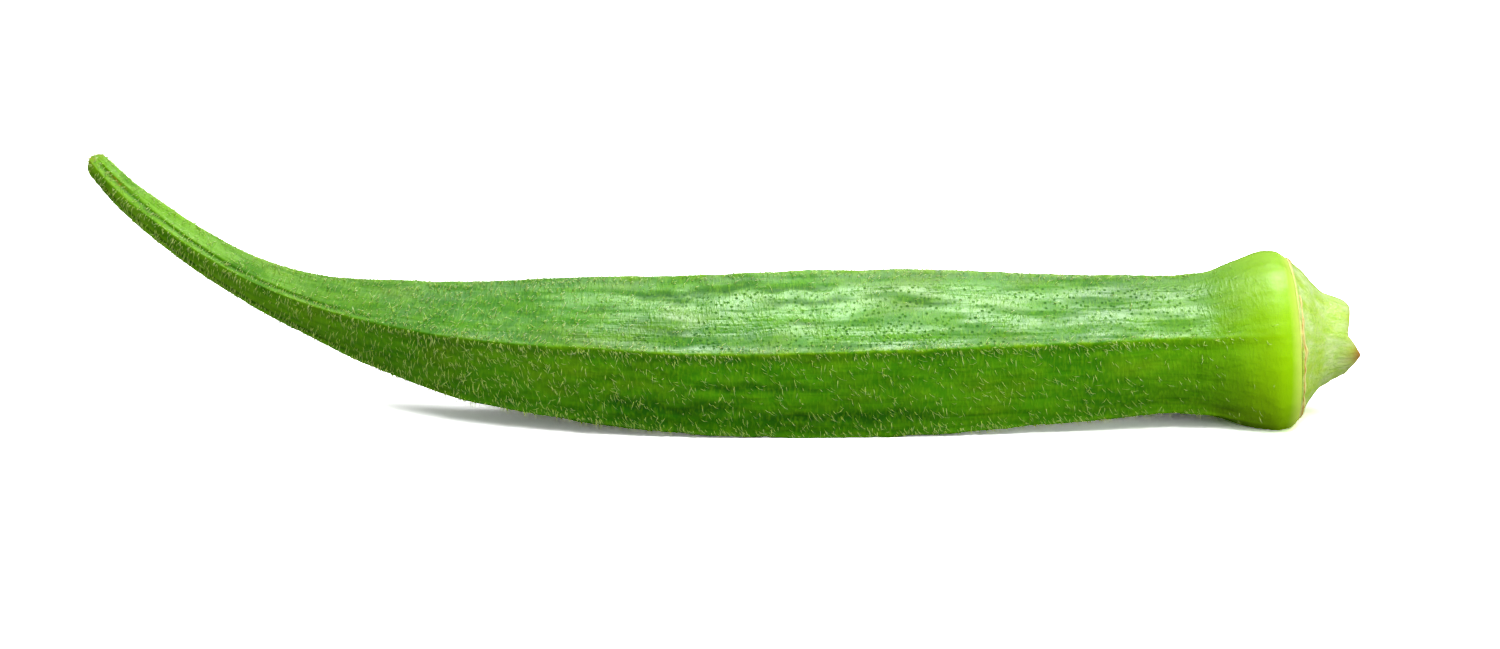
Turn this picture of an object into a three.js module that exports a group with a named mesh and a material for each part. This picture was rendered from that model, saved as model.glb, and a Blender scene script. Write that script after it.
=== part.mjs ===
// An okra pod as picked, lying on one of its five long faces, with its tip curling up and backwards.
// Millimetres, +Z up. +X runs from the tip to the stem, -Y is the front, and the pod rests on Z = 0.
// It grew as two things that meet at the calyx scar: the ribbed capsule, and the stem cap behind it.

import * as THREE from "three";

// Cross-section: a five-ridged capsule, with one ridge straight up and one flat face straight down.
const RIDGES = 5;
const FIRST_RIDGE = Math.PI / 2;
const POINTS_PER_FACE = 8;
const FACE_DEPTH = Math.cos(Math.PI / RIDGES);

// Rings that the skin has from one station to the next
const RINGS_PER_STRETCH = 5;

// The slit between capsule and stem cap, and where along X the capsule's side of it is.
const SCAR_GAP = 0.3;
const SCAR = 60.5;

// The capsule, from the calyx scar to the tip. middle is the centre of the section, ridge is the
// distance from there out to the ridges, facet runs from 0, a round section, through 1, flat faces,
// to more than 1, faces that are hollow between the ridges, and turn is the twist in degrees.
const CAPSULE = [
  { middle: [SCAR, 0.0, 8.2], ridge: 8.4, facet: 0.2, turn: 2 }, // calyx scar
  { middle: [59.8, 0.0, 8.16], ridge: 8.9, facet: 0.25, turn: 2 },
  { middle: [58.4, 0.0, 8.1], ridge: 9.15, facet: 0.3, turn: 2 }, // crest of the shoulder
  { middle: [55.5, 0.0, 7.95], ridge: 8.55, facet: 0.5, turn: 3 },
  { middle: [52.0, 0.0, 7.8], ridge: 7.65, facet: 0.7, turn: 3 },
  { middle: [48.0, 0.0, 7.7], ridge: 7.4, facet: 0.8, turn: 4 }, // narrow neck below the shoulder
  { middle: [38.0, 0.0, 7.25], ridge: 8.0, facet: 0.9, turn: 4 },
  { middle: [27.0, 0.0, 7.1], ridge: 8.7, facet: 0.95, turn: 2 },
  { middle: [14.0, 0.0, 7.1], ridge: 9.0, facet: 1.0, turn: 0 }, // belly, the widest part
  { middle: [1.0, 0.0, 7.1], ridge: 8.5, facet: 1.0, turn: 0 },
  { middle: [-10.0, 0.6, 7.7], ridge: 7.7, facet: 1.0, turn: 0 },
  { middle: [-20.0, 2.3, 8.1], ridge: 6.5, facet: 1.0, turn: 0 },
  { middle: [-29.0, 5.2, 8.95], ridge: 4.95, facet: 1.0, turn: 0 },
  { middle: [-37.5, 9.4, 10.15], ridge: 3.2, facet: 0.95, turn: 0 },
  { middle: [-45.5, 14.5, 12.25], ridge: 2.35, facet: 0.9, turn: 0 },
  { middle: [-53.0, 19.5, 15.7], ridge: 2.0, facet: 0.85, turn: 0 },
  { middle: [-58.0, 23.5, 18.6], ridge: 1.65, facet: 0.75, turn: 0 },
  { middle: [-60.7, 25.8, 20.75], ridge: 1.35, facet: 0.6, turn: 0 },
  { middle: [-61.5, 26.5, 21.4], ridge: 0.8, facet: 0.4, turn: 0 }, // blunt tip
];

// The stem cap, from the cut across the stem to the calyx scar.
const STEM_CAP = [
  { middle: [65.85, 0.0, 8.12], ridge: 3.7, facet: 0.3, turn: 2 }, // cut end
  { middle: [65.3, 0.0, 8.2], ridge: 4.1, facet: 0.3, turn: 2 },
  { middle: [64.6, 0.0, 8.25], ridge: 4.4, facet: 0.3, turn: 2 },
  { middle: [63.5, 0.0, 8.25], ridge: 4.95, facet: 0.35, turn: 2 },
  { middle: [62.5, 0.0, 8.25], ridge: 6.05, facet: 0.35, turn: 2 },
  { middle: [61.6, 0.0, 8.24], ridge: 7.2, facet: 0.3, turn: 2 },
  { middle: [SCAR + SCAR_GAP, 0.0, 8.2], ridge: 8.15, facet: 0.2, turn: 2 }, // calyx scar
];

// Distance from the middle of a section to its skin, in the direction angle.
function reach(angle, ridge, facet) {
  const face = (2 * Math.PI) / RIDGES;
  const fromRidge = (((angle - FIRST_RIDGE) % face) + face) % face;
  const flat = FACE_DEPTH / Math.cos(fromRidge - face / 2);
  return ridge * (1 - facet * (1 - flat));
}

// A closed solid skinned over the stations. The section keeps its upright as it bends along the line
// through the middles, and nothing hangs below the surface that the pod rests on.
function loft(stations) {
  const spine = new THREE.CatmullRomCurve3(
    stations.map((s) => new THREE.Vector3(...s.middle)),
  );
  const shape = new THREE.CatmullRomCurve3(
    stations.map((s) => new THREE.Vector3(s.ridge, s.facet, THREE.MathUtils.degToRad(s.turn))),
  );
  const around = RIDGES * POINTS_PER_FACE;
  const rings = (stations.length - 1) * RINGS_PER_STRETCH;
  const points = [];
  const faces = [];
  let up = new THREE.Vector3(0, 0, 1);
  for (let i = 0; i <= rings; i++) {
    const t = i / rings;
    const middle = spine.getPoint(t);
    const ahead = spine.getTangent(t);
    const front = up.clone().cross(ahead).normalize();
    up = ahead.clone().cross(front);
    const { x: ridge, y: facet, z: turn } = shape.getPoint(t);
    for (let j = 0; j < around; j++) {
      const angle = (2 * Math.PI * j) / around + FIRST_RIDGE;
      const out = reach(angle, ridge, facet);
      const turned = angle + turn;
      const point = middle
        .clone()
        .addScaledVector(front, out * Math.cos(turned))
        .addScaledVector(up, out * Math.sin(turned));
      points.push(point.x, point.y, Math.max(point.z, 0));
      if (i < rings) {
        const here = i * around + j;
        const beside = i * around + ((j + 1) % around);
        faces.push(here, beside, here + around);
        faces.push(beside, beside + around, here + around);
      }
    }
  }
  const last = rings * around;
  for (const [ring, end] of [[0, spine.getPoint(0)], [last, spine.getPoint(1)]]) {
    const centre = points.length / 3;
    points.push(end.x, end.y, end.z);
    for (let j = 0; j < around; j++) {
      const a = ring + j;
      const b = ring + ((j + 1) % around);
      faces.push(centre, ...(ring === 0 ? [b, a] : [a, b]));
    }
  }
  const solid = new THREE.BufferGeometry();
  solid.setAttribute("position", new THREE.Float32BufferAttribute(points, 3));
  solid.setIndex(faces);
  solid.computeVertexNormals();
  return solid;
}

function named(name, geometry, color, roughness) {
  const material = new THREE.MeshStandardMaterial({ color, roughness, metalness: 0 });
  const mesh = new THREE.Mesh(geometry, material);
  mesh.name = name;
  return mesh;
}

const okra = new THREE.Group();
okra.add(named("pod", loft(CAPSULE), "#4e9a25", 0.5));
okra.add(named("stem_cap", loft(STEM_CAP), "#9cc65a", 0.7));

// The frame's origin is the bottom centre of the whole pod's box.
const box = new THREE.Box3().setFromObject(okra);
const centre = box.getCenter(new THREE.Vector3());
okra.position.set(-centre.x, -centre.y, -box.min.z);

export default okra;
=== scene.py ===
import math
from types import SimpleNamespace

import bpy
import numpy as np
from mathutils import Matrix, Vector, noise


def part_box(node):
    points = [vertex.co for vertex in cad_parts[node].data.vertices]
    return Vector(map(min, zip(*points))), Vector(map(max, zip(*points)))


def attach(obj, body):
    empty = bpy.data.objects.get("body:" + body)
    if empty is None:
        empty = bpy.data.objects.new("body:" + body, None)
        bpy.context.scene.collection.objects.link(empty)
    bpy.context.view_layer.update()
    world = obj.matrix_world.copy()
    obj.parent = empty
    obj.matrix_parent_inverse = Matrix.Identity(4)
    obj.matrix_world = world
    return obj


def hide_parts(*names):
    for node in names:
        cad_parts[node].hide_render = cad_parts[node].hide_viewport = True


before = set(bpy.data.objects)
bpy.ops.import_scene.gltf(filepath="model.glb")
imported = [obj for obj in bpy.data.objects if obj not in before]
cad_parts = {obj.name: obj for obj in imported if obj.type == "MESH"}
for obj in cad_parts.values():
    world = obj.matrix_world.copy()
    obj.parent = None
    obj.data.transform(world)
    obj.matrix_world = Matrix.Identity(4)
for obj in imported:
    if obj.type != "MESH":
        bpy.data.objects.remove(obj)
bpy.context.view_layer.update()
MM = 0.001  # Blender works in metres, and the sizes below are written in millimetres.


# ---- The capsule ----------------------------------------------------------------------------------
# The fruit itself: five fused carpels, so five ridges with a shallow face between each two. It grew
# as one closed skin over its seeds, from the calyx scar to the dried tip, and it is fleshy and thin
# skinned. The belly's lowest face is pressed flat where it lies on the table.

RIDGES = 5
FACE = 2 * math.pi / RIDGES
FACE_DEPTH = math.cos(math.pi / RIDGES)
FIRST_RIDGE = math.pi / 2
SCAR = 60.5

# The same stations as the solid, in mm: the middle of the section, the distance from there out to
# the ridges, how flat the faces are (0 is round, 1 flat, more is hollow) and the twist in degrees.
CAPSULE = [
    ((SCAR, 0.0, 8.2), 8.4, 0.2, 2),  # calyx scar
    ((59.8, 0.0, 8.16), 8.9, 0.25, 2),
    ((58.4, 0.0, 8.1), 9.15, 0.3, 2),  # crest of the shoulder
    ((55.5, 0.0, 7.95), 8.55, 0.5, 3),
    ((52.0, 0.0, 7.8), 7.65, 0.7, 3),
    ((48.0, 0.0, 7.7), 7.4, 0.8, 4),  # narrow neck below the shoulder
    ((38.0, 0.0, 7.25), 8.0, 0.9, 4),
    ((27.0, 0.0, 7.1), 8.7, 0.95, 2),
    ((14.0, 0.0, 7.1), 9.0, 1.0, 0),  # belly
    ((1.0, 0.0, 7.1), 8.5, 1.0, 0),
    ((-10.0, 0.6, 7.7), 7.7, 1.0, 0),
    ((-20.0, 2.3, 8.1), 6.5, 1.0, 0),
    ((-29.0, 5.2, 8.95), 4.95, 1.0, 0),
    ((-37.5, 9.4, 10.15), 3.2, 0.95, 0),
    ((-45.5, 14.5, 12.25), 2.35, 0.9, 0),
    ((-53.0, 19.5, 15.7), 2.0, 0.85, 0),
    ((-58.0, 23.5, 18.6), 1.65, 0.75, 0),
    ((-60.7, 25.8, 20.75), 1.35, 0.6, 0),
    ((-61.5, 26.5, 21.4), 0.8, 0.4, 0),  # blunt tip
]


def through(rows, t):
    """A smooth line through rows of numbers, at each t from 0, the first row, to 1, the last."""
    rows = np.array(rows, float)
    rows = np.vstack([2 * rows[0] - rows[1], rows, 2 * rows[-1] - rows[-2]])
    gap = np.sqrt(np.linalg.norm(np.diff(rows, axis=0), axis=1))[:, None]
    gap = np.maximum(gap, 1e-3)
    place = np.clip(t, 0, 1) * (len(rows) - 3)
    k = np.minimum(place.astype(int), len(rows) - 4)
    w = (place - k)[:, None]
    a, b, c, d = (rows[k + i] for i in range(4))
    ab, bc, cd = (gap[k + i] for i in range(3))
    leave = ((b - a) / ab - (c - a) / (ab + bc) + (c - b) / bc) * bc
    arrive = ((c - b) / bc - (d - b) / (bc + cd) + (d - c) / cd) * bc
    square = 3 * (c - b) - 2 * leave - arrive
    cube = 2 * (b - c) + leave + arrive
    return b + w * (leave + w * (square + w * cube))


def followed(stations, count, crowd):
    """The sections at count places along the stations, evenly spaced but closer at both ends, each
    with its own front and up directions, which are kept upright along the bend."""
    fine = np.linspace(0, 1, 4000)
    step = np.linalg.norm(np.diff(through([s[0] for s in stations], fine), axis=0), axis=1)
    run = np.concatenate([[0], np.cumsum(step)])
    u = np.linspace(0, 1, count)
    along = run[-1] * (u - crowd * np.sin(2 * math.pi * u) / (2 * math.pi))
    t = np.interp(along, run, fine)
    middles = through([s[0] for s in stations], t)
    shape = through([(s[1], s[2], math.radians(s[3])) for s in stations], t)
    ahead = np.gradient(middles, axis=0)
    ahead /= np.linalg.norm(ahead, axis=1)[:, None]
    front, up = np.zeros_like(ahead), np.zeros_like(ahead)
    upright = np.array([0.0, 0.0, 1.0])
    for i, forward in enumerate(ahead):
        front[i] = np.cross(upright, forward)
        front[i] /= np.linalg.norm(front[i])
        upright = np.cross(forward, front[i])
        up[i] = upright
    ridge, facet, turn = shape.T[:, :, None]
    return SimpleNamespace(
        along=along[:, None], middles=middles, ahead=ahead, front=front, up=up,
        ridge=ridge, facet=facet, turn=turn,
    )


def placed(line, reach, angle):
    """Points in mm at that reach from the middles of the sections, in that direction round them."""
    side = np.cos(angle + line.turn)[..., None] * line.front[:, None]
    rise = np.sin(angle + line.turn)[..., None] * line.up[:, None]
    points = line.middles[:, None] + reach[..., None] * (side + rise)
    points[..., 2] = np.maximum(points[..., 2], 0)
    return points


def plain_reach(line, angle):
    """The solid's own section: how far its skin is from the middle in each direction."""
    off_middle = (angle - FIRST_RIDGE) % FACE - FACE / 2
    return line.ridge * (1 - line.facet * (1 - FACE_DEPTH / np.cos(off_middle))), off_middle


def grain(points, size, seed=0.0):
    """Smooth random values about 0 at points in mm, with lumps of the given size in mm."""
    shift = Vector((seed * 17.3, seed * 5.1, seed * 9.7))
    flat = points.reshape(-1, 3) / size
    values = [noise.noise(Vector(p) + shift) for p in flat]
    return np.array(values).reshape(points.shape[:-1])


def risen(values, none, full):
    """How far the values have come from none, where this is 0, to full, where it is 1."""
    return np.clip((values - none) / (full - none), 0, 1)


def near(values, middle, half_width):
    """A smooth bump that is 1 at the middle and fades out on both sides of it."""
    return np.exp(-(((values - middle) / half_width) ** 2))


def turned_from(angle, direction):
    """How far the angle is from a direction, up to half a turn either way."""
    return (angle - direction + math.pi) % (2 * math.pi) - math.pi


def piece_of(name, points, faces, places):
    """A smooth piece in the scene, from its points in mm, its faces, and a place on its UV map for
    each corner of each face."""
    mesh = bpy.data.meshes.new(name)
    mesh.from_pydata((points * MM).tolist(), [], faces)
    mesh.uv_layers.new(name="OFBake").data.foreach_set("uv", np.ravel(places))
    mesh.polygons.foreach_set("use_smooth", [True] * len(mesh.polygons))
    mesh.update()
    piece = bpy.data.objects.new(name, mesh)
    bpy.context.scene.collection.objects.link(piece)
    return piece


def skinned(name, rings, first, last, across):
    """A closed piece over rings of points in mm, with a point at each end. Across says how far
    along the UV map each ring is."""
    count, around = rings.shape[:2]
    points = np.vstack([rings.reshape(-1, 3), [first, last]])
    ring = np.arange(around)
    beside = (ring + 1) % around
    faces = []
    for i in range(count - 1):
        here, there = i * around, (i + 1) * around
        faces += zip(here + ring, here + beside, there + beside, there + ring)
    end = (count - 1) * around
    faces += [(len(points) - 2, b, a) for a, b in zip(ring, beside)]
    faces += [(len(points) - 1, end + a, end + b) for a, b in zip(ring, beside)]
    v0, v1 = ring / around, (ring + 1) / around
    places = []
    for i in range(count - 1):
        a, b = across[i], across[i + 1]
        for low, high in zip(v0, v1):
            places += [(a, low), (a, high), (b, high), (b, low)]
    for low, high in zip(v0, v1):
        places += [(0, (low + high) / 2), (across[0], high), (across[0], low)]
    for low, high in zip(v0, v1):
        places += [(1, (low + high) / 2), (across[-1], low), (across[-1], high)]
    return piece_of(name, points, [tuple(int(v) for v in face) for face in faces], places)


def noted(piece, name, values, kind="FLOAT"):
    """Keeps a value for each point of the mesh, which the material reads by name."""
    attribute = piece.data.attributes.new(name, kind, "POINT")
    field = "vector" if kind == "FLOAT_VECTOR" else "value"
    attribute.data.foreach_set(field, np.ravel(values).astype(np.float32))


# The skin's own relief, in mm.
RINGS = 500
POINTS_PER_FACE = 36
CROWDING = 0.45  # how far the points round the capsule are drawn towards the ridges
RIB_HALF_WIDTH = 0.30
RIB_HEIGHT = 0.11
RIB_WOBBLE = 0.22
RIDGE_ROUNDING = 0.035  # a share of the distance from the middle out to the ridge
VALLEY_DEPTH = 0.06
VALLEY_FROM_RIDGE = 1.1
VALLEY_HALF_WIDTH = 0.4
SEAM_DEPTH = 0.16
SEAM_HALF_WIDTH = 0.45
FACE_CROWN = 0.22
SEED_SPACING = 5.5
SEED_SWELL = 0.10
GROOVE_DEPTH = 0.24
TIP_LUMPS = 0.30

# Where things start and are full, in mm along the capsule from the scar.
SHOULDER = (1, 10)
SEAM_DEEPEST = 15
FIRST_SEEDS = (22, 34)
FORE = (62, 76)
TAIL = (86, 100)

# Lumps of a skin that grew, from slow waves to fine veins: their height in mm, how much they are
# squeezed along, across and up, their size in mm, and the least share of them on the thin tail.
LUMPS = [
    (0.30, (0.5, 1, 1), 9, 0.2),
    (0.12, (0.6, 1, 1), 2.6, 0.35),
    (0.05, (0.12, 1, 1), 0.8, 1),
    (0.025, (1, 1, 1), 0.6, 1),
]

# Creases where the skin has sunk a little: how far along from the scar each starts and ends, its
# direction in degrees (90 is the top ridge, 18 the front one), its half width and its depth.
CREASES = [
    (52, 68, 76, 0.60, 0.19),
    (57, 64, 70, 0.45, 0.16),
    (45, 55, 74, 0.40, 0.14),
    (46, 52, 40, 0.28, 0.10),
    (43, 54, 60, 0.50, 0.08),
    (59, 65, 38, 0.25, 0.07),
    (45, 62, -12, 0.50, 0.14),
    (54, 70, -32, 1.30, 0.19),
    (34, 56, -40, 0.90, 0.12),
    (66, 72, 60, 0.45, 0.11),
    (32, 40, 58, 0.30, 0.07),
    (50, 68, 132, 0.50, 0.16),
    (40, 52, 112, 0.40, 0.12),
    (54, 72, 186, 0.55, 0.16),
    (38, 49, 204, 0.40, 0.12),
    (62, 74, 214, 0.45, 0.14),
]

CREASE_FADE = 3.0
CREASE_WANDER = 1.1

line = followed(CAPSULE, RINGS, 0.25)
u = np.linspace(-1, 1, POINTS_PER_FACE, endpoint=False)
crowded = (1 - CROWDING) * u + CROWDING * np.sin(u * math.pi / 2)
angle = [FIRST_RIDGE + FACE * (k + 0.5 + crowded / 2) for k in range(RIDGES)]
angle = np.concatenate(angle)[None]
plain, off_middle = plain_reach(line, angle)

# The capsule stands where the solid does.
low, high = (np.array(corner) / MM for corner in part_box("pod"))
solid = placed(line, plain, angle).reshape(-1, 3)
SHIFT = (low + high - solid.min(0) - solid.max(0)) / 2
SHIFT[2] = 0
line.middles = line.middles + SHIFT

along, ridge = line.along, line.ridge
length = along[-1, 0]
straight = (along, plain * np.cos(angle), plain * np.sin(angle))
straight = np.stack(np.broadcast_arrays(*straight), axis=-1)
to_ridge = (FACE / 2 - np.abs(off_middle)) * ridge
past_ridge = ((angle - FIRST_RIDGE + FACE / 2) % FACE - FACE / 2) * ridge
stout = risen(ridge, 0, 8)
off_scar = risen(along, *SHOULDER)
fore = risen(along, *FORE)
tail = risen(along, *TAIL)
face_middle = np.cos(off_middle / FACE * math.pi) ** 2

# The hairs have worn off the two upper faces of the belly, and left a pit where each one stood.
upper = risen(np.sin(angle), 0.31, 0.34) * risen(np.sin(angle), 0.99, 0.96)
worn = upper * (1 - fore)

# The five faces run out on the shoulder, which is round where it meets the scar.
line.facet = line.facet * (0.25 + 0.75 * off_scar**1.3)
plain, _ = plain_reach(line, angle)

# Rounded ridges with a thin rib on each, and a shallow valley on both sides of it.
rib = np.minimum(RIB_HALF_WIDTH, 0.16 * ridge)
wobble = RIB_WOBBLE * grain(straight * [0.8, 1, 1], 1.2, 19)
on_rib = near(past_ridge, -wobble, rib) * off_scar
relief = -RIDGE_ROUNDING * ridge * np.exp(-to_ridge / (0.10 * ridge + 0.05)) * off_scar
rib_height = RIB_HEIGHT * np.clip(stout, 0.25, 1) * (0.9 + 0.6 * grain(straight, 0.9, 18))
relief = relief + (rib_height + 0.01 * ridge) * on_rib
valley = near(to_ridge, VALLEY_FROM_RIDGE, VALLEY_HALF_WIDTH)
relief = relief - VALLEY_DEPTH * valley * off_scar * stout

# Each face is crowned over its seeds, and has a seam down its middle that is deepest near the neck.
seam = near(off_middle * ridge, 0, SEAM_HALF_WIDTH) * (near(along, SEAM_DEEPEST, 10) + 0.2)
seam = seam * (0.25 + 0.75 * upper)
relief = relief - SEAM_DEPTH * seam * risen(along, 0, 5)
relief = relief + FACE_CROWN * face_middle * stout**2
swell = np.sin(2 * math.pi * (along / SEED_SPACING + 0.37 * np.floor(angle / FACE)))
over_seeds = risen(along, *FIRST_SEEDS) * risen(along, length - 45, length - 70)
relief = relief + SEED_SWELL * swell * over_seeds * face_middle

# Towards the tip the carpels part a little, so a groove runs along one side of each ridge.
groove_at = 0.42 + 0.25 * risen(along, 110, 125)
groove_half = 0.20 + 0.22 * risen(along, 118, 130)
groove = near(past_ridge, groove_at, groove_half) * tail
groove = groove * risen(along, length - 1.2, length - 2.7)
relief = relief - GROOVE_DEPTH * groove

for seed, (height, squeeze, size, least) in enumerate(LUMPS):
    relief = relief + height * grain(straight * squeeze, size, seed) * np.clip(stout, least, 1)

# Sunken creases wander a little and fade at both ends.
# This mask also darkens the skin's colour in the creases, as painted shade.
crease_shade = np.zeros_like(plain)
wander = CREASE_WANDER * grain(straight * [1, 0, 0], 3.0, 4)
ragged = 1 + 0.9 * grain(straight * [0.7, 1, 1], 1.1, 5)
for start, stop, degrees, half_width, depth in CREASES:
    away = turned_from(angle, math.radians(degrees)) * ridge
    sunk = near(away, -wander, half_width * ragged)
    sunk = sunk * risen(along, start, start + CREASE_FADE)
    sunk = sunk * risen(along, stop, stop - CREASE_FADE)
    relief = relief - depth * sunk
    crease_shade = np.maximum(crease_shade, sunk)

# The skin draws in to a blunt, rough tip.
near_tip = risen(along, length - 2.2, length)
relief = relief + TIP_LUMPS * near_tip * grain(straight, 0.9, 11)
drawn_in = np.sqrt(1 - 0.92 * risen(along, length - 0.9, length) ** 2)
rings = placed(line, (plain + relief) * drawn_in, angle)
tip_point = line.middles[-1] + line.ahead[-1] * 0.25

pod = skinned("pod_skin", rings, line.middles[0], tip_point, 0.01 + 0.98 * along[:, 0] / length)
ends = [[0, 0, 0], [length, 0, 0]]
noted(pod, "straight", np.vstack([straight.reshape(-1, 3), ends]), "FLOAT_VECTOR")
# The ribs are paler than the faces. The paleness is kept on the upper ridges and mostly taken off the
# lower ones: a painted highlight above and painted shade below.
pale_and_lit_rib = on_rib * (1 - 0.65 * risen(along, 66, 78)) * np.clip(0.6 + 0.5 * np.sin(angle), 0, 1)
pale_and_lit_rib = pale_and_lit_rib * np.clip(0.65 + 3.0 * grain(straight, 0.7, 17), 0, 1.25)
blemish = near(along, length - 4.6, 1.3) * near(past_ridge, 1.1, 0.5)
# Besides the skin's own marks, these carry painted light: a highlight on the upper ribs, and painted
# shade beside the ridges and in the creases and grooves.
for name, values in {
    "pale_and_lit_ridge": pale_and_lit_rib,
    "shade_beside_ridge": near(to_ridge, 0.6, 0.3) * off_scar * stout,
    "crease_shade": np.maximum(crease_shade, 0.8 * groove),
    "seam": seam,
    "blemish": np.maximum(blemish, near_tip**2),
    "worn": worn,
}.items():
    noted(pod, name, np.append(np.broadcast_to(values, plain.shape), [0, values[-1].max()]))


def srgb(colour):
    """An sRGB hex colour as the linear values that the shader works in."""
    parts = [int(colour[i : i + 2], 16) / 255 for i in (1, 3, 5)]
    return [c / 12.92 if c <= 0.04045 else ((c + 0.055) / 1.055) ** 2.4 for c in parts] + [1]


def node(material, kind, inputs, out=0, **settings):
    """Adds a shader node and returns one of its outputs. Each input is a value or an output."""
    made = material.node_tree.nodes.new("ShaderNode" + kind)
    for name, value in settings.items():
        setattr(made, name, value)
    for name, value in inputs.items():
        if isinstance(value, bpy.types.NodeSocket):
            material.node_tree.links.new(value, made.inputs[name])
        else:
            made.inputs[name].default_value = value
    return made.outputs[out] if len(made.outputs) else made


def blank(name):
    """A material with no shader nodes yet."""
    material = bpy.data.materials.new(name)
    material.use_nodes = True
    material.node_tree.nodes.clear()
    return material


def patterns(material, place, rows):
    """Noise patterns by name. Each row has the lump size in mm, how much the lumps are squeezed
    along, across and up, their detail, and the noise levels where the pattern starts and is full."""
    made = {}
    for name, size, squeeze, detail, start, full in rows:
        squeezed = node(material, "VectorMath", {0: place, 1: squeeze}, operation="MULTIPLY")
        noisy = {"Vector": squeezed, "Scale": 1 / size, "Detail": detail}
        levels = {"Value": node(material, "TexNoise", noisy), "From Min": start, "From Max": full}
        made[name] = node(material, "MapRange", levels)
    return made


def layered(material, colour, values, rows):
    """The colour with shades laid over it. Each row has the name of the values that say where the
    shade is, the most of it that there is, and the shade."""
    for name, most, shade in rows:
        share = node(material, "Math", {0: values[name], 1: most}, operation="MULTIPLY")
        colour = node(material, "Mix", {0: share, 6: colour, 7: srgb(shade)}, 2, data_type="RGBA")
    return colour


# Living plant skin under a thin waxy cuticle: deep green, satin where the hairs have worn off and
# duller where they stand. Pits, fine rows of cells and streaks break the sheen. The ridges are paler,
# with a painted highlight on the upper ones, and the shoulder is lime. The pits, the creases, the
# tail's grooves and the skin beside each ridge are darkened with painted shade.
okra = blank("okra_skin_satin_cuticle")
place = node(okra, "Attribute", {}, 1, attribute_name="straight")
distance = node(okra, "SeparateXYZ", {0: place})
grown = {}
for name in ("pale_and_lit_ridge", "shade_beside_ridge", "crease_shade", "seam", "blemish", "worn"):
    grown[name] = node(okra, "Attribute", {}, 2, attribute_name=name)
grown |= patterns(
    okra,
    place,
    (
        ("broad", 7.0, (0.5, 1, 1), 2, 0.35, 0.65),
        ("olive", 4.0, (0.5, 1, 1), 2, 0.52, 0.70),
        ("mottle", 1.1, (0.7, 1, 1), 3, 0.35, 0.65),
        ("cell_rows", 0.28, (1.1, 0.35, 0.35), 2, 0.46, 0.68),
        ("streaks", 1.3, (0.14, 1, 1), 2, 0.53, 0.66),
        ("veins", 0.4, (0.07, 1, 1), 1, 0.52, 0.70),
        ("dull", 2.0, (0.28, 1, 1), 3, 0.51, 0.63),
        ("specks", 0.35, (0.8, 1, 1), 2, 0.42, 0.58),
        ("pitted", 5.0, (1, 1, 1), 1, 0.40, 0.60),
    ),
)

# Pits are about 0.25 mm across and 0.5 mm apart, more of them in some patches than in others.
# The pits are painted darker below, as painted shade in the hollows.
PIT_SPACING = 0.5
shaded_pits = node(okra, "TexVoronoi", {"Vector": place, "Scale": 1 / PIT_SPACING})
shaded_pits = node(okra, "MapRange", {"Value": shaded_pits, "From Min": 0.33, "From Max": 0.18})
patchy = node(okra, "MapRange", {"Value": grown["pitted"], "To Min": 0.5})
shaded_pits = node(okra, "Math", {0: shaded_pits, 1: patchy}, operation="MULTIPLY")
grown["shaded_pits"] = node(okra, "Math", {0: shaded_pits, 1: grown["worn"]}, operation="MULTIPLY")

# Near the scar the skin is plainer: where each pattern starts and is full, in mm from the scar.
for name, none, full in (
    ("shaded_pits", 5, 12),
    ("cell_rows", 0.5, 9),
    ("streaks", 2, 11),
    ("veins", 1.5, 10),
):
    reached = node(okra, "MapRange", {"Value": distance, "From Min": none, "From Max": full})
    grown[name] = node(okra, "Math", {0: grown[name], 1: reached}, operation="MULTIPLY")

# The shoulder is lime beside the scar, half way to green 6 mm from it, and green from 20 mm.
LIME_REACH = 20
lime = node(okra, "Math", {0: distance, 1: 1 / LIME_REACH}, operation="MULTIPLY")
lime = node(okra, "ValToRGB", {"Fac": lime})
ramp = lime.node.color_ramp
ramp.elements[0].color = (1, 1, 1, 1)
ramp.elements[1].color = (0, 0, 0, 1)
for at, level in ((0.1, 0.95), (0.2, 0.75), (0.3, 0.42), (0.45, 0.16)):
    ramp.elements.new(at).color = (level, level, level, 1)
grown["shoulder"] = lime
grown["scar_rim"] = node(okra, "MapRange", {"Value": distance, "From Min": 1.1, "From Max": 0.2})
grown["yellowing"] = node(okra, "MapRange", {"Value": distance, "From Min": 84, "From Max": 118})
dried = {0: grown["blemish"], 1: grown["specks"]}
grown["dried"] = node(okra, "Math", dried, operation="MULTIPLY")

colour = layered(
    okra,
    srgb("#286c04"),
    grown,
    (
        ("broad", 1.0, "#489006"),
        ("olive", 0.50, "#627c08"),
        ("mottle", 0.45, "#62a00a"),
        ("yellowing", 0.7, "#7cb410"),
        ("streaks", 0.60, "#2c7002"),
        ("seam", 0.45, "#468c04"),
        # Painted shade in the sunk creases and the tail's grooves.
        ("crease_shade", 0.75, "#16520a"),
        # Painted shade along both sides of each ridge.
        ("shade_beside_ridge", 0.45, "#266604"),
        # Paler ribs, with a painted highlight on the upper ridges.
        ("pale_and_lit_ridge", 0.50, "#86b408"),
        ("shoulder", 1.0, "#90c402"),
        ("cell_rows", 0.35, "#76ac14"),
        ("veins", 0.30, "#2c6c02"),
        # Painted shade in the pits.
        ("shaded_pits", 0.65, "#164c04"),
        ("scar_rim", 0.5, "#d4de70"),
        ("dried", 0.85, "#b0842a"),
    ),
)

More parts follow.
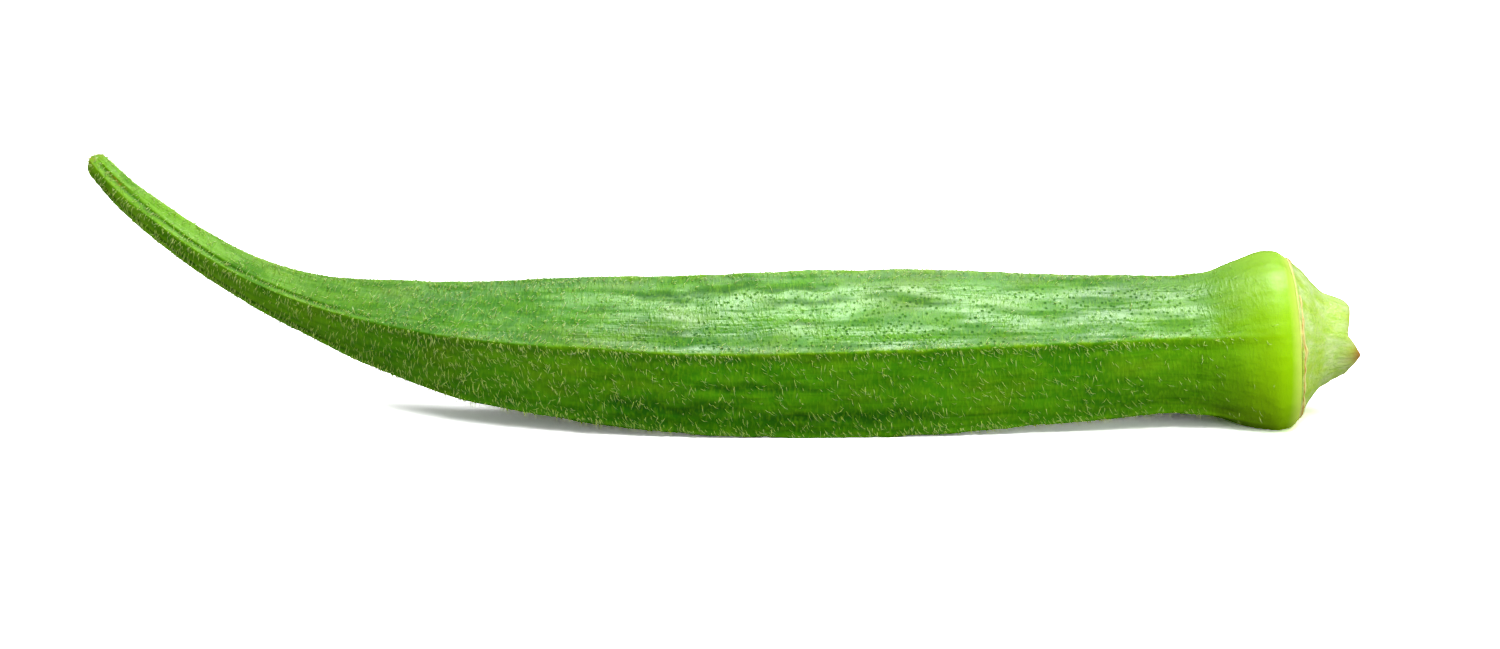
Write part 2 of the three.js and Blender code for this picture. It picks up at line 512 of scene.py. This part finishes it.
# How far each one stands up from the skin, and how much duller than the skin it is.
height, rough = 0.0, 0.60
for name, rise, dulling in (
    ("mottle", 0.5, 0.0),
    ("cell_rows", 0.9, 0.0),
    ("veins", -0.5, 0.05),
    ("shaded_pits", -1.2, 0.45),
    ("streaks", -0.4, 0.28),
    ("worn", 0.0, -0.22),
    ("dull", 0.0, 0.22),
    ("seam", 0.0, 0.12),
    ("crease_shade", 0.0, 0.30),
    ("shoulder", 0.0, 0.10),
):
    raised = {0: grown[name], 1: rise, 2: height}
    dulled = {0: grown[name], 1: dulling, 2: rough}
    height = node(okra, "Math", raised, operation="MULTIPLY_ADD")
    rough = node(okra, "Math", dulled, operation="MULTIPLY_ADD")
bumpy = node(okra, "Bump", {"Height": height, "Strength": 0.9, "Distance": 0.04 * MM})
rough = node(okra, "Math", {0: rough, 1: 0.85}, operation="MINIMUM")
surface = node(
    okra,
    "BsdfPrincipled",
    {
        "Base Color": colour,
        "Roughness": rough,
        "Normal": bumpy,
        "IOR": 1.45,
        "Specular IOR Level": 0.25,
        "Specular Tint": (0.86, 1.0, 0.8, 1),
        "Subsurface Weight": 0.10,
        "Subsurface Radius": (1.0, 1.4, 0.3),
        "Subsurface Scale": 0.8 * MM,
    },
)
node(okra, "OutputMaterial", {"Surface": surface})

pod.data.materials.append(okra)
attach(pod, "root")
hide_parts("pod")


# ---- The hairs ------------------------------------------------------------------------------------
# Short stiff hairs grow all over the capsule, densest on the ridges and on its fore part, and they
# have mostly worn off the two upper faces of the belly. Each is one pale, tapering, bent thread of
# tissue rooted in the skin, 0.3 to 1.1 mm long and about 0.09 mm thick at its root.

FACE_HAIR_LENGTHS = (0.40, 1.10)
RIDGE_HAIR_LENGTHS = (0.30, 0.75)
HAIR_RADIUS = 0.046
HAIR_SUNK = 0.04  # how far the root is sunk in the skin, in mm
ELBOW_THICKNESS = 0.75
SIDES = 3
random = np.random.default_rng(7)


def hairy(name, density, lengths, lean):
    """Hairs over the capsule at that density per square mm at each point, as one mesh."""
    step_along = np.diff(rings, axis=0)[:, :-1]
    step_round = np.diff(rings, axis=1)[:-1]
    normal = np.cross(step_round, step_along)
    area = np.linalg.norm(normal, axis=2)
    normal = normal / np.maximum(area, 1e-9)[..., None]
    chance = (area * np.broadcast_to(density, plain.shape)[:-1, :-1]).ravel()
    count = int(chance.sum())
    cells = np.searchsorted(np.cumsum(chance), random.random(count) * chance.sum())
    i, j = np.unravel_index(np.minimum(cells, chance.size - 1), area.shape)
    out = normal[i, j]
    s, r = random.random((2, count, 1))
    root = rings[i, j] + s * step_along[i, j] + r * step_round[i, j]

    # They lean over towards the stem and downwards, each by its own amount.
    lay = -1.0 * line.ahead[i] + [0, 0, -0.6] + random.normal(0, 0.75, (count, 3))
    lay -= out * np.sum(lay * out, axis=1)[:, None]
    lay /= np.linalg.norm(lay, axis=1)[:, None]
    size = random.uniform(*lengths, (count, 1))
    leaning = random.uniform(*lean, (count, 1))
    rise = out + leaning * lay
    rise /= np.linalg.norm(rise, axis=1)[:, None]
    bent = rise + random.uniform(0.2, 1.4, (count, 1)) * lay
    bent /= np.linalg.norm(bent, axis=1)[:, None]
    elbow = root + 0.5 * size * rise
    end = elbow + 0.5 * size * bent

    # None of them goes through the table.
    clear = (end[:, 2] > 0.03) & (elbow[:, 2] > 0.06) & (root[:, 2] > 0.08)
    root, elbow, end, rise, lay = (a[clear] for a in (root, elbow, end, rise, lay))
    count = len(root)
    side = np.cross(rise, lay)
    thick = HAIR_RADIUS * random.uniform(0.7, 1.1, (count, 1))
    corners = []
    for base, radius in ((root - HAIR_SUNK * rise, thick), (elbow, ELBOW_THICKNESS * thick)):
        for k in range(SIDES):
            turn = k * 2 * math.pi / SIDES
            corners.append(base + radius * (math.cos(turn) * lay + math.sin(turn) * side))
    corners.append(end)
    points = np.stack(corners, axis=1).reshape(-1, 3)
    lower = [(k, (k + 1) % SIDES, SIDES + (k + 1) % SIDES, SIDES + k) for k in range(SIDES)]
    upper_half = [(SIDES + k, SIDES + (k + 1) % SIDES, 2 * SIDES) for k in range(SIDES)]
    pattern = [(2, 1, 0)] + lower + upper_half
    per_hair = 2 * SIDES + 1
    faces = [tuple(per_hair * h + v for v in f) for h in range(count) for f in pattern]

    # On the map each hair is a thin upright strip, from its root at the bottom to its end at the top.
    strip = random.random(count)
    across = np.array([0, 0.3, 0.6, 0, 0.3, 0.6, 0.3]) * 0.004
    upward = np.array([0.02, 0.02, 0.02, 0.5, 0.5, 0.5, 0.98])
    places = []
    for start in strip:
        for f in pattern:
            places += [(0.99 * start + across[v], upward[v]) for v in f]
    return piece_of(name, points, faces, places)


on_neck = np.clip((along - 3) / 14, 0.12, 1)
face_density = (1.2 + 2.2 * fore * (1 - 0.6 * tail)) * on_neck * (1 - 0.85 * worn)
ridge_density = 6.5 * near(to_ridge, 0, 0.75) * risen(along, 5, 17) * (1 - 0.8 * worn)

# Pale dry hair tissue, nearly clear, with a satin gloss and greener at the root.
hair = blank("okra_hair_pale_tissue")
strip = node(hair, "UVMap", {}, uv_map="OFBake")
height_on_hair = node(hair, "SeparateXYZ", {0: strip}, 1)
tint = node(hair, "ValToRGB", {"Fac": height_on_hair})
tint.node.color_ramp.elements[0].color = srgb("#9cd034")
tint.node.color_ramp.elements[1].color = srgb("#e2f484")
differing = node(hair, "TexNoise", {"Vector": strip, "Scale": 90, "Detail": 1})
levels = {"Value": differing, "From Min": 0.4, "From Max": 0.7, "To Max": 0.5}
differing = node(hair, "MapRange", levels)
tint = node(hair, "Mix", {0: differing, 6: tint, 7: srgb("#b4e048")}, 2, data_type="RGBA")
surface = node(
    hair,
    "BsdfPrincipled",
    {
        "Base Color": tint,
        "Roughness": 0.45,
        "IOR": 1.45,
        "Specular IOR Level": 0.3,
        "Subsurface Weight": 0.8,
        "Subsurface Radius": (1.0, 1.0, 0.6),
        "Subsurface Scale": 0.25 * MM,
    },
)
node(hair, "OutputMaterial", {"Surface": surface})

for name, density, lengths, lean in (
    ("face_hairs", face_density, FACE_HAIR_LENGTHS, (0.3, 1.3)),
    ("ridge_hairs", ridge_density, RIDGE_HAIR_LENGTHS, (0.2, 1.0)),
):
    piece = hairy(name, density, lengths, lean)
    piece.data.materials.append(hair)
    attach(piece, "root")


# ---- The stem cap ---------------------------------------------------------------------------------
# The receptacle that the flower stood on, and a stub of the fruit's own stalk. It is paler and firmer
# than the capsule, with a white bloom, and it flares from the stalk to the scar. A knife went most of
# the way through the stalk, and the last of it tore, which left a point on the cut.

STEM = [
    ((65.85, 0.0, 8.12), 3.7, 0.3, 2),  # cut end
    ((65.3, 0.0, 8.2), 4.1, 0.3, 2),
    ((64.6, 0.0, 8.25), 4.4, 0.3, 2),
    ((63.5, 0.0, 8.25), 4.95, 0.35, 2),
    ((62.5, 0.0, 8.25), 6.05, 0.35, 2),
    ((61.6, 0.0, 8.24), 7.2, 0.3, 2),
    ((SCAR + 0.12, 0.0, 8.2), 8.3, 0.2, 2),  # calyx scar
]
STEM_RINGS = 90
STEM_AROUND = 180
CUT_RINGS = 22
TEAR_AT = math.radians(-11)
TEAR_LENGTH = 1.45
TEAR_BELOW, TEAR_ABOVE = 1.15, 0.56  # how far round it reaches, in radians
NICK_FROM_TEAR = 0.62
NICK_DEPTH = 0.18
CUT_WAVES = 0.12
CUT_REACH = 1.3  # how far along the stalk the cut's own shape goes
EDGE_ROUNDING = 0.12
DISH_DEPTH = 0.12
WOOD_HEIGHT = 0.10
WOOD_AT = 0.72  # a share of the way from the middle of the cut out to its rim

stem_line = followed(STEM, STEM_RINGS, 0.0)
stem_line.middles = stem_line.middles + SHIFT
stem_angle = np.linspace(0, 2 * math.pi, STEM_AROUND, endpoint=False)[None]
stem_line.facet = 0.3 * stem_line.facet
reach, _ = plain_reach(stem_line, stem_angle)
down_stem = stem_line.along[-1, 0] - stem_line.along
on_stem = (down_stem, reach * np.cos(stem_angle), reach * np.sin(stem_angle))
on_stem = np.stack(np.broadcast_arrays(*on_stem), axis=-1)
for height, squeeze, size, seed in (
    (0.09, (0.4, 1, 1), 2.5, 6),
    (0.04, (0.15, 1, 1), 0.7, 7),
    (0.015, (1, 1, 1), 0.4, 12),
):
    reach = reach + height * grain(on_stem * squeeze, size, seed)
reach[0] -= EDGE_ROUNDING
stem_rings = placed(stem_line, reach, stem_angle)

# The torn point is low on the front and wider below than above, and the cut is nicked over it.
from_tear = turned_from(stem_angle[0], TEAR_AT)
from_nick = turned_from(from_tear, NICK_FROM_TEAR)
wavy = [noise.noise(Vector((2.2 * math.cos(a), 2.2 * math.sin(a), 3))) for a in stem_angle[0]]
tear_half = np.where(from_tear < 0, TEAR_BELOW, TEAR_ABOVE)
edge = TEAR_LENGTH * np.clip(1 - np.abs(from_tear) / tear_half, 0, 1) ** 0.95
edge = edge - NICK_DEPTH * near(from_nick, 0, 0.3) + CUT_WAVES * np.array(wavy)
near_cut = np.clip(1 - stem_line.along / CUT_REACH, 0, 1) ** 1.2
stem_rings[..., 0] += near_cut * edge

# The cut face: rings that shrink to the middle, dished a little, with the wood standing proud.
rim = stem_rings[0]
centre = stem_line.middles[0] + [0.02, 0, 0]
cut_rings, shares = [], np.linspace(0, 1, CUT_RINGS + 1)[1:]
for share in shares[:-1]:
    ring = centre + (rim - centre) * share
    ring[:, 0] = centre[0] + (rim[:, 0] - centre[0]) * share**3
    ring[:, 0] += WOOD_HEIGHT * near(share, WOOD_AT, 0.10) - DISH_DEPTH * math.sin(math.pi * share)
    ring[:, 0] += 0.05 * grain(ring * [0, 1, 1], 0.35, 8)
    cut_rings.append(ring)
cut_count = len(cut_rings)
across = [np.linspace(0.01, 0.29, cut_count), np.linspace(0.3, 0.99, STEM_RINGS)]
all_rings = np.concatenate([cut_rings, stem_rings])
stem = skinned(
    "stem_cap_skin", all_rings, centre - [0.1, 0, 0], stem_line.middles[-1], np.concatenate(across)
)

# The torn point and the edge of the cut have browned.
browned_cut = shares[:-1, None] ** 4 * near(from_tear, 0, 0.24)[None]
browned_skin = near_cut**1.5 * near(from_tear, 0, 0.22)[None]
browned_skin = browned_skin + 0.45 * np.exp(-stem_line.along / 0.25)
skin_only = np.zeros((STEM_RINGS, STEM_AROUND))
cut_share = np.repeat(shares[:-1, None], STEM_AROUND, axis=1)
cut_places = (np.array(cut_rings) - centre).reshape(-1, 3)
ends = np.array([[0, 0, 0], [6, 0, 0]])
noted(stem, "straight", np.vstack([cut_places, on_stem.reshape(-1, 3), ends]), "FLOAT_VECTOR")
for name, on_face, on_skin, tips in (
    ("browned", browned_cut, browned_skin, [0, 0]),
    ("cut_share", cut_share, skin_only, [0, 0]),
    ("on_cut", np.ones_like(cut_share), skin_only, [1, 0]),
):
    noted(stem, name, np.append(np.concatenate([on_face, on_skin]), tips))

# Firm stalk skin, pale yellow-green under a matt white bloom that has rubbed off in patches. The cut
# shows a green rind, a cream ring of wood and a paler pith.
stalk = blank("stalk_skin_matt_bloom")
place = node(stalk, "Attribute", {}, 1, attribute_name="straight")
grown = {}
for name in ("browned", "cut_share", "on_cut"):
    grown[name] = node(stalk, "Attribute", {}, 2, attribute_name=name)
grown |= patterns(
    stalk,
    place,
    (
        ("bloom", 1.5, (0.6, 1, 1), 3, 0.38, 0.62),
        ("mottle", 0.7, (0.8, 1, 1), 3, 0.40, 0.65),
        ("specks", 0.3, (0.8, 1, 1), 2, 0.44, 0.64),
        ("streaks", 0.5, (0.12, 1, 1), 2, 0.45, 0.68),
        ("pores", 0.22, (1, 1, 1), 1, 0.55, 0.66),
    ),
)
pores = {0: grown["pores"], 1: grown["on_cut"]}
grown["pores"] = node(stalk, "Math", pores, operation="MULTIPLY")

# Across the cut, from its middle to its rim.
wood = node(stalk, "ValToRGB", {"Fac": grown["cut_share"]})
ramp = wood.node.color_ramp
ramp.elements[0].color = srgb("#dae8a8")
ramp.elements[1].color = srgb("#a0c84c")
for at, shade in ((0.5, "#cee28c"), (0.66, "#e8ebae"), (0.78, "#d6dd8c"), (0.86, "#aacc52")):
    ramp.elements.new(at).color = srgb(shade)

colour = layered(
    stalk,
    srgb("#aaca48"),
    grown,
    (
        ("bloom", 0.75, "#c2d694"),
        ("mottle", 0.5, "#9ac62a"),
        ("streaks", 0.2, "#94c243"),
        ("specks", 0.25, "#86b840"),
    ),
)
colour = node(stalk, "Mix", {0: grown["on_cut"], 6: colour, 7: wood}, 2, data_type="RGBA")
colour = layered(
    stalk, colour, grown, (("pores", 0.35, "#9aa84a"), ("browned", 0.85, "#9a6f30"))
)
height = node(stalk, "Math", {0: grown["specks"], 1: grown["streaks"]}, operation="ADD")
bumpy = node(stalk, "Bump", {"Height": height, "Strength": 0.6, "Distance": 0.05 * MM})
rough = node(stalk, "MapRange", {"Value": grown["bloom"], "To Min": 0.5, "To Max": 0.68})
surface = node(
    stalk,
    "BsdfPrincipled",
    {
        "Base Color": colour,
        "Roughness": rough,
        "Normal": bumpy,
        "IOR": 1.45,
        "Subsurface Weight": 0.3,
        "Subsurface Radius": (1.0, 1.4, 0.4),
        "Subsurface Scale": 0.8 * MM,
    },
)
node(stalk, "OutputMaterial", {"Surface": surface})

stem.data.materials.append(stalk)
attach(stem, "root")
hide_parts("stem_cap")


# ---- The calyx scar -------------------------------------------------------------------------------
# The ring where the flower's calyx was joined on, between the capsule and the stem cap. It healed as
# two thin corky lips with a cream strip between them, and it closes the slit between the two.

SCAR_AROUND = 360
SCAR_HALF_WIDTH = 0.46
SCAR_BACK = 0.12  # how far its middle is behind the capsule's last section
SCAR_SLOPE = 0.55  # how steeply the stem cap falls away from it
LIPS_AT = (0.26, 0.74)  # shares of its width
LIP_HALF_WIDTH = 0.09
RING_SIZE = 8.3  # how far out the ring is from its middle

# The section of the ring: how far across each point is, from the stem cap to the capsule and back
# underneath, and how proud of the skin it stands.
SECTION = [
    (0.0, -0.1),
    (0.12, 0.03),
    (0.26, 0.10),  # lip
    (0.36, 0.03),
    (0.5, -0.02),
    (0.64, 0.03),
    (0.74, 0.11),  # lip
    (0.88, 0.03),
    (1.0, -0.1),
    (0.75, -0.45),
    (0.5, -0.5),
    (0.25, -0.45),
]

scar_angle = np.linspace(0, 2 * math.pi, SCAR_AROUND, endpoint=False)
scar_line = followed([CAPSULE[0], CAPSULE[1]], 2, 0.0)
scar_reach, _ = plain_reach(scar_line, scar_angle[None])
circle = np.stack([np.cos(scar_angle), np.sin(scar_angle), 0 * scar_angle], axis=-1) * RING_SIZE
sway = 0.22 * grain(circle, 2.4, 13) + 0.10 * grain(circle, 0.8, 14)
widen = 1 + 0.5 * grain(circle, 1.3, 15)
ragged = grain(circle, 0.45, 16)
at_scar = SHIFT + np.array(CAPSULE[0][0]) + [SCAR_BACK, 0, 0]
turned = (scar_angle + scar_line.turn[0, 0])[:, None]
outward = np.cos(turned) * scar_line.front[0] + np.sin(turned) * scar_line.up[0]
scar_rings = []
for share, height in SECTION:
    offset = (1 - 2 * share) * SCAR_HALF_WIDTH * widen + sway
    lifted = scar_reach[0] - SCAR_SLOPE * np.maximum(offset, 0) - 0.06
    lifted = lifted + height * (1 + 0.8 * ragged)
    points = at_scar + lifted[:, None] * outward - offset[:, None] * scar_line.ahead[0]
    points[:, 2] = np.maximum(points[:, 2], 0)
    scar_rings.append(points)
scar_rings = np.stack(scar_rings, axis=1)
parts = len(SECTION)
ring, part = np.meshgrid(np.arange(SCAR_AROUND), np.arange(parts), indexing="ij")
next_ring, next_part = (ring + 1) % SCAR_AROUND, (part + 1) % parts
quads = (
    ring * parts + part,
    next_ring * parts + part,
    next_ring * parts + next_part,
    ring * parts + next_part,
)
quads = np.stack(quads, axis=-1).reshape(-1, 4).tolist()
u0, v0 = (ring / SCAR_AROUND).ravel(), (part / parts).ravel()
u1, v1 = u0 + 1 / SCAR_AROUND, v0 + 1 / parts
places = np.stack([u0, v0, u1, v0, u1, v1, u0, v1], axis=-1)
scar = piece_of("calyx_scar", scar_rings.reshape(-1, 3), quads, places)
across_scar = np.array(SECTION)[:, 0]
lip = sum(near(across_scar, lip_at, LIP_HALF_WIDTH) for lip_at in LIPS_AT)
noted(scar, "lip", np.broadcast_to(lip, (SCAR_AROUND, parts)))
noted(scar, "straight", scar_rings.reshape(-1, 3), "FLOAT_VECTOR")

# Healed cork: dry, matt, orange-brown on the lips and cream between them, in uneven flecks.
cork = blank("scar_dry_cork")
place = node(cork, "Attribute", {}, 1, attribute_name="straight")
on_lip = node(cork, "Attribute", {}, 2, attribute_name="lip")
flecks = node(cork, "TexNoise", {"Vector": place, "Scale": 1 / 0.7, "Detail": 3})
levels = {"Value": flecks, "From Min": 0.35, "From Max": 0.6, "To Min": 0.45}
brown = {0: on_lip, 1: node(cork, "MapRange", levels)}
brown = node(cork, "Math", brown, operation="MULTIPLY")
fine = node(cork, "TexNoise", {"Vector": place, "Scale": 1 / 0.2, "Detail": 2})
cream = {0: fine, 6: srgb("#cfd874"), 7: srgb("#e4e296")}
colour = node(cork, "Mix", cream, 2, data_type="RGBA")
colour = node(cork, "Mix", {0: brown, 6: colour, 7: srgb("#b0701e")}, 2, data_type="RGBA")
bumpy = node(cork, "Bump", {"Height": fine, "Strength": 0.7, "Distance": 0.05 * MM})
surface = {"Base Color": colour, "Normal": bumpy, "Roughness": 0.75, "IOR": 1.45}
surface = node(cork, "BsdfPrincipled", surface)
node(cork, "OutputMaterial", {"Surface": surface})

scar.data.materials.append(cork)
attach(scar, "root")


# ---- Stage, light and camera ----------------------------------------------------------------------
# A plain white table in a plain white room. A softbox in front and one overhead give the light and
# the shadow, two low panels light the ends of the pod, and two panels over it give only its sheen.

FLOOR_HALF = 0.7
floor_mesh = bpy.data.meshes.new("table")
corners = [(x * FLOOR_HALF, y * FLOOR_HALF, 0) for x, y in ((-1, -1), (1, -1), (1, 1), (-1, 1))]
floor_mesh.from_pydata(corners, [], [(0, 1, 2, 3)])
floor = bpy.data.objects.new("table", floor_mesh)
bpy.context.scene.collection.objects.link(floor)
paper = blank("white_paper")

# The table and the room are brighter to the camera, so they look plain white, than they are to the
# pod, and darkest in its sheen, so the faces turned away from the lights keep their depth.
seen = node(paper, "LightPath", {}).node.outputs
tone = {"Value": seen["Is Glossy Ray"], "To Min": 0.14, "To Max": 0.035}
tone = node(paper, "MapRange", tone)
tone = {0: seen["Is Camera Ray"], 1: 2.8, 2: tone}
tone = node(paper, "Math", tone, operation="MULTIPLY_ADD")
node(paper, "OutputMaterial", {"Surface": node(paper, "BsdfDiffuse", {"Color": tone})})
floor_mesh.materials.append(paper)

# Where each light stands and what it is turned to, in metres, its size, its power in watts, and
# whether it gives diffuse light and whether it is seen in the sheen.
CENTRE = (0, 0, 0)
for name, spot, aim, size, energy, lights, shines in (
    ("front_softbox", (0.03, -0.40, 0.50), CENTRE, (0.36, 0.26), 3.05, True, False),
    ("top_softbox", (-0.05, 0.10, 0.60), CENTRE, (0.36, 0.26), 2.35, True, False),
    ("left_sheen_panel", (-0.05, 0.07, 0.55), CENTRE, (0.18, 0.34), 4.8, False, True),
    ("right_sheen_panel", (0.15, 0.07, 0.55), CENTRE, (0.22, 0.34), 12.0, False, True),
    ("right_panel", (0.50, -0.34, 0.06), (0.05, 0, 0.01), (0.30, 0.12), 2.5, True, False),
    ("left_panel", (-0.45, -0.30, 0.05), (-0.04, 0.01, 0.01), (0.30, 0.12), 0.6, True, False),
):
    light = bpy.data.lights.new(name, "AREA")
    light.shape = "RECTANGLE"
    light.size, light.size_y = size
    light.energy = energy
    lamp = bpy.data.objects.new(name, light)
    lamp.location = spot
    lamp.rotation_euler = (Vector(aim) - Vector(spot)).to_track_quat("-Z", "Y").to_euler()
    lamp.visible_diffuse = lights
    lamp.visible_glossy = shines
    bpy.context.scene.collection.objects.link(lamp)

world = bpy.data.worlds.new("white_room")
bpy.context.scene.world = world
world.use_nodes = True
seen = node(world, "LightPath", {}).node.outputs
level = {"Value": seen["Is Glossy Ray"], "To Min": 0.19, "To Max": 0.045}
level = node(world, "MapRange", level)
level = {0: seen["Is Camera Ray"], 1: 0.8, 2: level}
level = node(world, "Math", level, operation="MULTIPLY_ADD")
background = world.node_tree.nodes["Background"]
background.inputs["Color"].default_value = (1, 1, 1, 1)
world.node_tree.links.new(level, background.inputs["Strength"])

# The camera looks slightly down at the pod, in mm and degrees.
ELEVATION = math.radians(16.5)
AZIMUTH = math.radians(2)
DISTANCE = 425.2
LOOKED_AT = Vector((4.6, 0, 7.6))
level_view = math.cos(ELEVATION)
view = (math.sin(AZIMUTH) * level_view, math.cos(AZIMUTH) * level_view, -math.sin(ELEVATION))
view = Vector(view)
camera_data = bpy.data.cameras.new("camera")
camera_data.lens = 100
camera_data.sensor_width = 36
camera_data.clip_start = 0.01
camera = bpy.data.objects.new("camera", camera_data)
camera.location = (LOOKED_AT - view * DISTANCE) * MM
camera.rotation_euler = view.to_track_quat("-Z", "Y").to_euler()
bpy.context.scene.collection.objects.link(camera)
bpy.context.scene.camera = camera
bpy.context.scene.view_settings.view_transform = "Standard"
